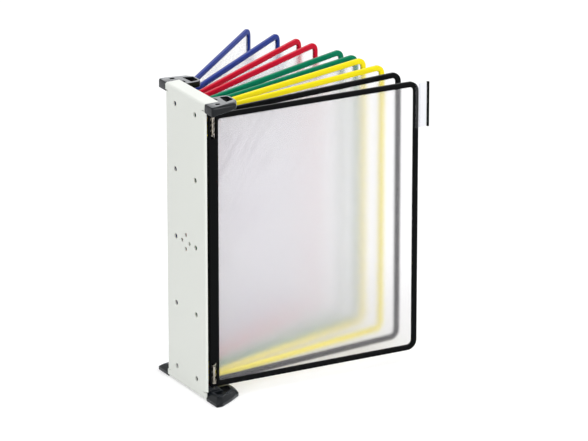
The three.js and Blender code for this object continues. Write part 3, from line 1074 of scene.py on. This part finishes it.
def frame_mesh():
    thick = BAR_THICKNESS / 2
    piece = loft("pocket_frame", section_loops(thick), closed=True)
    cutters = []
    for end in (-1, 1):
        low, high = sorted((end * WINDOW_LOW, end * WINDOW_HIGH))
        edges = (-WINDOW_WIDTH / 2, low, WINDOW_WIDTH / 2, high)
        outline = rounded_rectangle(*edges, (WINDOW_CORNER,) * 4, WINDOW_STEPS)
        depth = thick + OVER
        cutters.append(prism("cut", outline, -depth, depth, place=lambda x, y, z: (x, z, y)))
        low, high = sorted((end * (WINDOW_HIGH - OVER), end * (FRAME_HEIGHT / 2 + OVER)))
        cutters.append(drill("cut", (0, 0), "z", PIN_HOLE / 2, low, high, PIN_HOLE_SIDES))
    combine(piece, cutters, "DIFFERENCE")
    return smooth(piece)


def leaf_place(index, angle):
    place = Vector((pivot_x(index), -PIVOT_SETBACK, -FRAME_DROP)) * MM
    return Matrix.Translation(place) @ Matrix.Rotation(math.radians(angle - 90), 4, "Z")


pattern = frame_mesh()
print("frame mesh faces:", len(pattern.data.polygons))

# %% [markdown]
# The ten frames came out of one mould, so ten objects share this one mesh. The material is linked
# to the object and not to the mesh, which lets each frame have a colour of its own.

# %% Ten frames from one mesh
COLOUR_SLOT = {
    "blue": "blue_plastic",
    "red": "red_plastic",
    "green": "green_plastic",
    "yellow": "yellow_plastic",
    "black": "black_gloss_plastic",
}


def copy_of(pattern, name, index, angle, body, slot, *nodes):
    """A new object that shares the pattern's mesh, placed on a leaf, with a finish of its own."""
    piece = bpy.data.objects.new(name, pattern.data)
    bpy.context.scene.collection.objects.link(piece)
    piece.matrix_world = leaf_place(index, angle)
    if not pattern.data.materials:
        pattern.data.materials.append(None)
    piece.material_slots[0].link = "OBJECT"
    piece.material_slots[0].material = FINISH[slot]
    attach(piece, body)
    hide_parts(*nodes)
    return piece


for index, (leaf, angle) in enumerate(LEAVES):
    slot = COLOUR_SLOT[leaf.split("_")[0]]
    copy_of(pattern, leaf + "_moulded_frame", index, angle, leaf, slot, leaf + "_frame")
bpy.data.objects.remove(pattern)
print("frames:", len(LEAVES))

# %% [markdown]
# ## Clear pockets
#
# Each pocket is two sheets of film, welded at the sides and the foot and open at the top, where a
# page slides in. Empty, the two sheets lie together, so one thin closed sheet stands for the pair.

# %% Clear pockets
MOUTH = 1.0
WELDED_CORNER = 4.0
OPEN_CORNER = 0.2
FILM_CORNER_STEPS = 5


def film_mesh():
    inside = FRAME_HEIGHT / 2 - BAR_WIDTH
    free_side = FRAME_REACH - BAR_WIDTH + GROOVE
    edges = (SPINE_FRONT - SPINE_GROOVE, -inside - GROOVE, free_side, inside - MOUTH)
    radii = (WELDED_CORNER, WELDED_CORNER, OPEN_CORNER, OPEN_CORNER)
    outline = rounded_rectangle(*edges, radii, FILM_CORNER_STEPS)
    return prism("film", outline, -FILM / 2, FILM / 2, place=lambda x, y, z: (x, z, y))


pattern = film_mesh()
for index, (leaf, angle) in enumerate(LEAVES):
    copy_of(pattern, leaf + "_film", index, angle, leaf, "clear_film", leaf + "_pocket")
bpy.data.objects.remove(pattern)
print("pockets:", len(LEAVES))

# %% [markdown]
# ## Pins and springs
#
# A pin is turned from steel wire with a collar, and a coil spring stands between the collar and the
# window's inner end. The pin is a profile turned round its axis, and the spring is a round wire
# swept along a helix of even pitch. The lower spring never moves in use, so it is joined to its
# pin.

# %% Pin and spring meshes
PIN = 2.4
PIN_TRAVEL = 5.0
PIN_BITE = 4.6
COLLAR = 5.0
COLLAR_THICKNESS = 1.6
TIP_BEVEL = 0.4
TAIL_BEVEL = 0.3
COLLAR_BEVEL = 0.25
THINNEST = 0.01
SPRING = 5.4
WIRE = 1.0
SPRING_TURNS = 3.5


def turned(name, profile, sides=28):
    """Turns a profile of (radius, height) round Z; its ends are closed by a very small face."""
    loops = []
    for radius, height in profile:
        radius = max(radius, THINNEST)
        loop = []
        for i in range(sides):
            turn = 2 * math.pi * i / sides
            loop.append((radius * math.cos(turn), radius * math.sin(turn), height))
        loops.append(loop)
    return smooth(loft(name, loops))


def pin_piece(end):
    tip = RAIL_FACE + PIN_BITE + end * FRAME_DROP
    top = WINDOW_HIGH - SEAT
    foot = top - COLLAR_THICKNESS
    tail = WINDOW_LOW + SEAT + PIN_TRAVEL
    shaft, collar = PIN / 2, COLLAR / 2
    profile = [
        (0, tail),
        (shaft - TAIL_BEVEL, tail),
        (shaft, tail + TAIL_BEVEL),
        (shaft, foot),
        (collar - COLLAR_BEVEL, foot),
        (collar, foot + COLLAR_BEVEL),
        (collar, top - COLLAR_BEVEL),
        (collar - COLLAR_BEVEL, top),
        (shaft, top),
        (shaft, tip - TIP_BEVEL),
        (shaft - TIP_BEVEL, tip),
        (0, tip),
    ]
    return turned("pin", profile)


def spring_piece(low, high, steps=24, sides=10):
    radius = (SPRING - WIRE) / 2
    total = int(SPRING_TURNS * steps)
    loops = []
    for i in range(total + 1):
        turn = 2 * math.pi * i / steps
        height = low + (high - low) * i / total
        out = Vector((math.cos(turn), math.sin(turn), 0))
        loop = []
        for j in range(sides):
            around = 2 * math.pi * j / sides
            point = out * (radius + WIRE / 2 * math.cos(around))
            loop.append((point.x, point.y, height + WIRE / 2 * math.sin(around)))
        loops.append(loop)
    return smooth(loft("spring", loops), angle=60)


SPRING_FOOT = WINDOW_LOW + SEAT + WIRE / 2
SPRING_TOP = WINDOW_HIGH - 2 * SEAT - COLLAR_THICKNESS - WIRE / 2
top_pin = pin_piece(1)
top_spring = spring_piece(SPRING_FOOT, SPRING_TOP)
bottom_pin = pin_piece(-1)
seated = spring_piece(SPRING_FOOT, WINDOW_HIGH - SEAT - COLLAR_THICKNESS + WIRE / 4)
combine(bottom_pin, [seated], "UNION")
bottom_pin.data.transform(Matrix.Rotation(math.pi, 4, "X"))
smooth(bottom_pin, angle=50)
print("spring stands", round(SPRING_TOP - SPRING_FOOT + WIRE, 1), "mm high")

# %% [markdown]
# Each leaf gets an upper pin, a lower pin joined to its spring, and an upper spring with a mesh of
# its own. In use an upper spring is squeezed when its pin is drawn down to lift a frame out: it
# keeps its foot in place and loses the pin's travel of its height.

# %% Pins and springs of every leaf
steel = "bright_steel"
for index, (leaf, angle) in enumerate(LEAVES):
    upper, lower, spring = leaf + "_top_pin", leaf + "_bottom_pin", leaf + "_top_spring"
    copy_of(top_pin, leaf + "_upper_pin", index, angle, leaf + "_pin", steel, upper)
    copy_of(bottom_pin, leaf + "_lower_pin", index, angle, leaf, steel, lower)
    coil = copy_of(top_spring, leaf + "_upper_spring", index, angle, leaf, steel, spring)
    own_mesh(coil)
for spare in (top_pin, top_spring, bottom_pin):
    bpy.data.objects.remove(spare)

# %% [markdown]
# ## Index tab
#
# The nearest frame carries a clear clip whose front is a holder for a name card, closed by a dark
# strip. The clip is an extrusion: its profile is drawn once and pulled along Z. The card is bare.

# %% Index tab
TAB_HEIGHT = 50.0
TAB_WALL = 0.8
TAB_BELOW_TOP = 3.0
TAB_GRIP = 4.6
TAB_STAND = 9.2
CARD = 0.5
STRIP_WIDTH = 2.7
STRIP_CORNERS = (0.1, 0.9, 0.9, 0.1)
STRIP_EDGE = 0.25


def tab_pieces():
    grip = FRAME_REACH - TAB_GRIP
    leg_in = BAR_THICKNESS / 2 + SEAT
    leg_out = leg_in + TAB_WALL
    web_in = FRAME_REACH + SEAT
    web_out = web_in + TAB_WALL
    pocket_in = CARD / 2 + SEAT
    pocket_out = pocket_in + TAB_WALL
    end = web_out + TAB_STAND
    half = [(grip, leg_out), (grip, leg_in), (web_in, leg_in)]
    outer = [
        (web_out, leg_out),
        (web_out, pocket_out),
        (end, pocket_out),
        (end, pocket_in),
        (web_out, pocket_in),
    ]
    outline = half + [(x, -y) for x, y in reversed(half)]
    outline += [(x, -y) for x, y in outer] + outer[::-1]
    top = FRAME_HEIGHT / 2 - TAB_BELOW_TOP
    foot = top - TAB_HEIGHT
    holder = prism("tab_holder", outline, foot, top)
    card_low, card_high = (web_out + SEAT, -CARD / 2, foot + SEAT), (end, CARD / 2, top - SEAT)
    card = box_between("tab_board", card_low, card_high)
    back = end + SEAT
    edges = (back, -pocket_out, back + STRIP_WIDTH, pocket_out)
    strip = prism("tab_strip", rounded_rectangle(*edges, STRIP_CORNERS, 5), foot, top)
    return holder, card, soften(strip, STRIP_EDGE, angle=60)


index = len(LEAVES) - 1
leaf, angle = LEAVES[index]
tab_finishes = (
    ("index_tab", "clear_plastic"),
    ("tab_card", "card"),
    ("tab_edge", "black_gloss_plastic"),
)
for pattern, (node, slot) in zip(tab_pieces(), tab_finishes):
    smooth(pattern, angle=40)
    copy_of(pattern, pattern.name + "_piece", index, angle, leaf, slot, node)
    bpy.data.objects.remove(pattern)
print("tab pieces:", len(tab_finishes), "on", leaf)

# %% [markdown]
# ## Camera
#
# The photograph was taken from far away with a long lens, from behind the wall plane, 20 degrees
# above the horizon. The camera's place was worked out from the edges of the bracket and the frames,
# so it needs no shift.

# %% Camera
SENSOR_WIDTH = 36
LENS = 306.12
CAMERA_PLACE = (-4348.5, 2395.9, 1830.5)
AZIMUTH = 239.825
ELEVATION = 19.998

camera_data = bpy.data.cameras.new("camera")
camera_data.sensor_width = SENSOR_WIDTH
camera_data.lens = LENS
camera_data.clip_end = 100
camera = bpy.data.objects.new("camera", camera_data)
bpy.context.scene.collection.objects.link(camera)
camera.location = Vector(CAMERA_PLACE) * MM
azimuth, elevation = math.radians(AZIMUTH), math.radians(ELEVATION)
level = math.cos(elevation)
ahead = Vector((-math.sin(azimuth) * level, math.cos(azimuth) * level, -math.sin(elevation)))
camera.rotation_euler = ahead.to_track_quat("-Z", "Y").to_euler()
bpy.context.scene.camera = camera
print("camera looks along", [round(v, 4) for v in ahead])

# %% [markdown]
# A ray to the last pocket crosses twenty faces of film. Each crossing counts as a bounce, so rays
# may bend and pass more often here than usual.

# %% Longer light paths
FILM_CROSSINGS = 64
MIRRORINGS = 24

cycles = bpy.context.scene.cycles
cycles.max_bounces = FILM_CROSSINGS
cycles.transmission_bounces = cycles.transparent_max_bounces = FILM_CROSSINGS
cycles.glossy_bounces = cycles.diffuse_bounces = MIRRORINGS
print("bounces:", cycles.max_bounces)

# %% [markdown]
# ## Backdrop
#
# The object stands on white, as on a light table. The sky lights the scene evenly and a little
# below full white, and the camera, the reflections and the film see it as plain white. A light
# path node tells the rays that look at the backdrop from the rays that gather light.

# %% Sky
SKY_LIGHT = 0.68


def seen_directly(tree):
    """1 for camera, mirrored and refracted rays, and 0 for rays that gather light."""
    path = add(tree, "ShaderNodeLightPath")
    seen = add(
        tree,
        "ShaderNodeMath",
        {"operation": "MAXIMUM"},
        {0: path.outputs["Is Camera Ray"], 1: path.outputs["Is Glossy Ray"]},
    )
    return add(
        tree,
        "ShaderNodeMath",
        {"operation": "MAXIMUM"},
        {0: seen.outputs[0], 1: path.outputs["Is Transmission Ray"]},
    )


world = bpy.data.worlds.new("studio")
bpy.context.scene.world = world
world.use_nodes = True
tree = world.node_tree
tree.nodes.clear()
seen = seen_directly(tree)
strength = add(
    tree,
    "ShaderNodeMapRange",
    {"To Min": SKY_LIGHT, "To Max": 1.0},
    {"Value": seen.outputs[0]},
)
sky = add(
    tree,
    "ShaderNodeBackground",
    {"Color": (1, 1, 1, 1)},
    {"Strength": strength.outputs[0]},
)
add(tree, "ShaderNodeOutputWorld", links={"Surface": sky.outputs[0]})
print("the sky gives", SKY_LIGHT, "of full white")

# %% [markdown]
# ## Floor
#
# A pale board just under the feet takes their soft shadow. It glows a little when it is looked at,
# which lifts it to white away from the object. Seen through the film the glow fades near the
# object: a painted shade that gives the lower part of the pockets the soft grey of a shaded floor.

# %% Floor
FLOOR_HALF = 12000
FLOOR_LEVEL = -HALF_HEIGHT - 1.4
FLOOR_GLOW = 0.4
# Painted shade round the object: seen through the film, the glow is lowest within the first
# distance and full beyond the second.
FADE_FROM, FADE_TO = 220.0, 500.0
GLOW_NEAR, GLOW_FAR = 0.12, 0.38

floor_corners = [(-1, -1), (1, -1), (1, 1), (-1, 1)]
floor_points = [(x * FLOOR_HALF, y * FLOOR_HALF, FLOOR_LEVEL) for x, y in floor_corners]
floor = mesh_object("floor", floor_points, [(0, 1, 2, 3)])
floor_material, tree = new_material("pale_studio_floor")
board = add(tree, "ShaderNodeBsdfDiffuse", {"Color": linear("D8D8D8")})
place = add(tree, "ShaderNodeNewGeometry")
distance = add(
    tree,
    "ShaderNodeVectorMath",
    {"operation": "LENGTH"},
    {0: place.outputs["Position"]},
)
painted_floor_shade = add(
    tree,
    "ShaderNodeMapRange",
    {
        "From Min": FADE_FROM * MM,
        "From Max": FADE_TO * MM,
        "To Min": GLOW_NEAR,
        "To Max": GLOW_FAR,
    },
    {"Value": distance.outputs["Value"]},
)
path = add(tree, "ShaderNodeLightPath")
level = add(
    tree,
    "ShaderNodeMix",
    {2: FLOOR_GLOW},
    {0: path.outputs["Is Transmission Ray"], 3: painted_floor_shade.outputs["Result"]},
)
glow = add(
    tree,
    "ShaderNodeEmission",
    {"Color": (1, 1, 1, 1)},
    {"Strength": level.outputs[0]},
)
lit = add(tree, "ShaderNodeAddShader", links={0: board.outputs[0], 1: glow.outputs[0]})
seen = seen_directly(tree)
choice = add(
    tree,
    "ShaderNodeMixShader",
    links={0: seen.outputs[0], 1: board.outputs[0], 2: lit.outputs[0]},
)
add(tree, "ShaderNodeOutputMaterial", links={"Surface": choice.outputs[0]})
floor.data.materials.append(floor_material)
print("floor at height", FLOOR_LEVEL, "mm")

# %% [markdown]
# ## Lamps
#
# Four large soft lamps shape the pieces. One hangs above. One stands on the room's side, to the
# right of the camera, and one behind the wall plane, to its left, where it lights the back of the
# plate. A low one faces the camera from beyond the object: its grazing light draws the pale top
# faces of the black caps and the long highlights on the bars.

# %% Lamps
AIM = (0, -0.1, 0)
LAMPS = (
    # name, place and aim in metres, width and height in metres, watts
    ("top_softbox", (-0.6, 0.2, 2.2), AIM, (1.6, 1.2), 14),
    ("side_softbox", (-2.2, -1.6, 0.9), AIM, (1.2, 1.6), 28),
    ("fill_softbox", (-1.6, 2.4, 1.0), AIM, (1.6, 1.2), 26),
    ("rim_softbox", (2.3, -1.4, 1.1), (0, -0.1, 0.1), (1.8, 0.9), 9),
)

for name, place, aim, size, power in LAMPS:
    data = bpy.data.lights.new(name, "AREA")
    data.shape = "RECTANGLE"
    data.size, data.size_y = size
    data.energy = power
    lamp = bpy.data.objects.new(name, data)
    bpy.context.scene.collection.objects.link(lamp)
    lamp.location = place
    lamp.rotation_euler = (Vector(aim) - Vector(place)).to_track_quat("-Z", "Y").to_euler()
    lamp.visible_camera = False
print("lamps:", len(LAMPS))

# %% [markdown]
# ## View
#
# The view transform stays Standard, so that a white is white and a colour is shown as it was
# picked.

# %% View
bpy.context.scene.view_settings.view_transform = "Standard"
